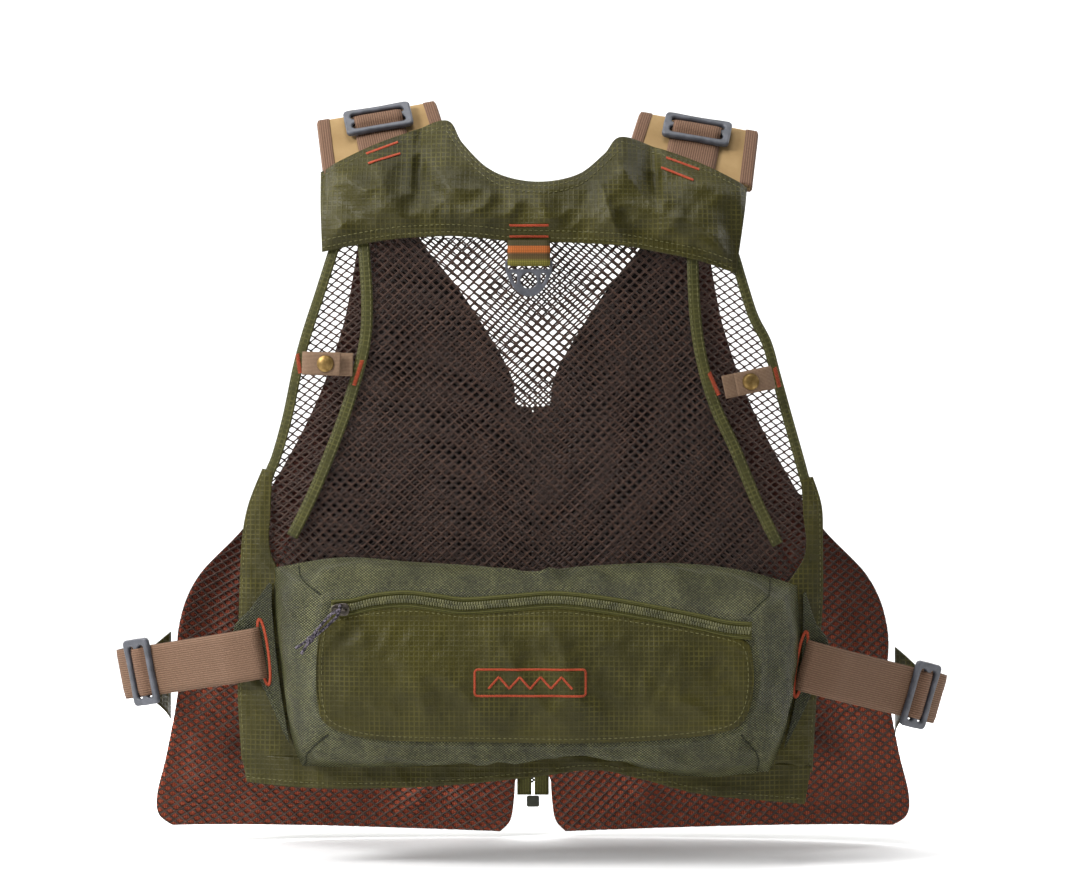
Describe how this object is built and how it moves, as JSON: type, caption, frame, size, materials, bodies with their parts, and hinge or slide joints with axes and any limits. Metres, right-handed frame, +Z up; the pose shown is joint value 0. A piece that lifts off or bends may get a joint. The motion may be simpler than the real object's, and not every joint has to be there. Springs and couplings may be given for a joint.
{
  "type": "fishing vest",
  "caption": "Mesh-backed fly fisher's vest with padded shoulders, a zipped back pocket, adjustable side straps, snap tabs, a net ring and front pockets.",
  "frame": {"origin": "base of the wearer's neck, midway between the two shoulder pads and level with their tops", "axes": "+Z up, +Y the way the wearer faces, +X to the wearer's right"},
  "size_m": [0.6336, 0.2999, 0.5652],
  "materials": {
    "ripstop": "matt woven",
    "coarse_cloth": "matt coarse weave",
    "mesh": "matt open net",
    "pad_cloth": "matt woven",
    "webbing": "matt ribbed",
    "loop_webbing": "matt ribbed stripes",
    "plastic": "satin moulded",
    "snap_brass": "worn satin",
    "zip_metal": "dark satin",
    "zip_tape": "matt tape with a nylon coil",
    "cord": "matt twisted"
  },
  "bodies": {
    "root": {"back_lining": "mesh", "back_mesh_panel": "mesh", "left_side_mesh": "mesh", "right_side_mesh": "mesh", "back_yoke": "ripstop", "left_seam_tape": "ripstop", "right_seam_tape": "ripstop", "left_armhole_binding": "ripstop", "right_armhole_binding": "ripstop", "left_back_side_panel": "ripstop", "right_back_side_panel": "ripstop", "back_hem_band": "ripstop", "back_pocket_gusset": "coarse_cloth", "back_pocket_face": "ripstop", "back_zip": "zip_tape", "left_strap_tab": "coarse_cloth", "right_strap_tab": "coarse_cloth", "net_ring_webbing": "loop_webbing", "left_front_zip_tape": "zip_tape", "right_front_zip_tape": "zip_tape", "front_zip_box": "plastic", "left_side_strap": "webbing", "left_shoulder_pad": "pad_cloth", "left_shoulder_webbing": "webbing", "left_snap_base": "webbing", "left_front_mesh": "mesh", "left_front_shell": "ripstop", "left_front_wing": "ripstop", "left_lower_pocket": "ripstop", "left_pocket_zip": "zip_tape", "left_chest_pocket": "ripstop", "right_side_strap": "webbing", "right_shoulder_pad": "pad_cloth", "right_shoulder_webbing": "webbing", "right_snap_base": "webbing", "right_front_mesh": "mesh", "right_front_shell": "ripstop", "right_front_wing": "ripstop", "right_lower_pocket": "ripstop", "right_pocket_zip": "zip_tape", "right_chest_pocket": "ripstop"},
    "net_ring": {"net_ring": "plastic"},
    "left_snap_tab": {"left_snap_strap": "webbing", "left_snap_cap": "snap_brass"},
    "right_snap_tab": {"right_snap_strap": "webbing", "right_snap_cap": "snap_brass"},
    "left_shoulder_slider": {"left_shoulder_slider": "plastic"},
    "right_shoulder_slider": {"right_shoulder_slider": "plastic"},
    "left_side_slider": {"left_side_slider": "plastic"},
    "right_side_slider": {"right_side_slider": "plastic"},
    "back_zip_slider": {"back_zip_slider": "zip_metal"},
    "back_zip_pull": {"back_zip_pull": "cord"},
    "front_zip_slider": {"front_zip_slider": "zip_metal"},
    "front_zip_pull": {"front_zip_pull": "cord"},
    "left_pocket_zip_slider": {"left_pocket_zip_slider": "zip_metal"},
    "left_pocket_zip_pull": {"left_pocket_zip_pull": "cord"},
    "right_pocket_zip_slider": {"right_pocket_zip_slider": "zip_metal"},
    "right_pocket_zip_pull": {"right_pocket_zip_pull": "cord"},
    "left_chest_flap": {"left_chest_flap": "coarse_cloth"},
    "right_chest_flap": {"right_chest_flap": "coarse_cloth"}
  },
  "joints": [
    {"name": "net_ring_swing", "type": "hinge", "parent": "root", "child": "net_ring", "pos_m": [-0.003, -0.1222, -0.109], "axis": [-1, 0, 0], "range_deg": [0, 90]},
    {"name": "left_snap_open", "type": "hinge", "parent": "root", "child": "left_snap_tab", "pos_m": [-0.169, -0.10312, -0.183], "axis": [-0.0349, 0, -0.9994], "range_deg": [0, 110]},
    {"name": "right_snap_open", "type": "hinge", "parent": "root", "child": "right_snap_tab", "pos_m": [0.176, -0.10105, -0.193], "axis": [-0.2079, 0, 0.9781], "range_deg": [0, 110]},
    {"name": "left_shoulder_adjust", "type": "slide", "parent": "root", "child": "left_shoulder_slider", "axis": [0.1731, -0.688, -0.7048], "range_m": [0, 0.022]},
    {"name": "right_shoulder_adjust", "type": "slide", "parent": "root", "child": "right_shoulder_slider", "axis": [-0.1731, -0.688, -0.7048], "range_m": [0, 0.022]},
    {"name": "left_side_adjust", "type": "slide", "parent": "root", "child": "left_side_slider", "axis": [0.7527, -0.6419, 0.1463], "range_m": [0, 0.065]},
    {"name": "right_side_adjust", "type": "slide", "parent": "root", "child": "right_side_slider", "axis": [-0.7371, -0.6419, 0.2113], "range_m": [0, 0.065]},
    {"name": "back_zip_open", "type": "slide", "parent": "root", "child": "back_zip_slider", "axis": [0.9986, 0, -0.0526], "range_m": [0, 0.288]},
    {"name": "back_pull_lift", "type": "hinge", "parent": "back_zip_slider", "child": "back_zip_pull", "pos_m": [-0.13901, -0.1402, -0.36137], "axis": [-0.9986, 0, 0.0526], "range_deg": [0, 90]},
    {"name": "front_zip_open", "type": "slide", "parent": "root", "child": "front_zip_slider", "axis": [0, -0.0222, -0.9998], "range_m": [0, 0.286]},
    {"name": "front_pull_lift", "type": "hinge", "parent": "front_zip_slider", "child": "front_zip_pull", "pos_m": [0, 0.11516, -0.22422], "axis": [1, 0, 0], "range_deg": [0, 90]},
    {"name": "left_pocket_zip_open", "type": "slide", "parent": "root", "child": "left_pocket_zip_slider", "axis": [-0.9821, -0.1277, -0.1383], "range_m": [0, 0.125]},
    {"name": "left_pocket_pull_lift", "type": "hinge", "parent": "left_pocket_zip_slider", "child": "left_pocket_zip_pull", "pos_m": [-0.0671, 0.15188, -0.33528], "axis": [0.9821, 0.1277, 0.1383], "range_deg": [0, 90]},
    {"name": "right_pocket_zip_open", "type": "slide", "parent": "root", "child": "right_pocket_zip_slider", "axis": [0.9821, -0.1277, -0.1383], "range_m": [0, 0.125]},
    {"name": "right_pocket_pull_lift", "type": "hinge", "parent": "right_pocket_zip_slider", "child": "right_pocket_zip_pull", "pos_m": [0.0671, 0.15188, -0.33528], "axis": [0.9821, -0.1277, -0.1383], "range_deg": [0, 90]},
    {"name": "left_flap_lift", "type": "hinge", "parent": "root", "child": "left_chest_flap", "pos_m": [-0.088, 0.1075, -0.156], "axis": [0.9976, 0.0698, 0], "range_deg": [0, 120]},
    {"name": "right_flap_lift", "type": "hinge", "parent": "root", "child": "right_chest_flap", "pos_m": [0.088, 0.1075, -0.156], "axis": [0.9976, -0.0698, 0], "range_deg": [0, 120]}
  ]
}
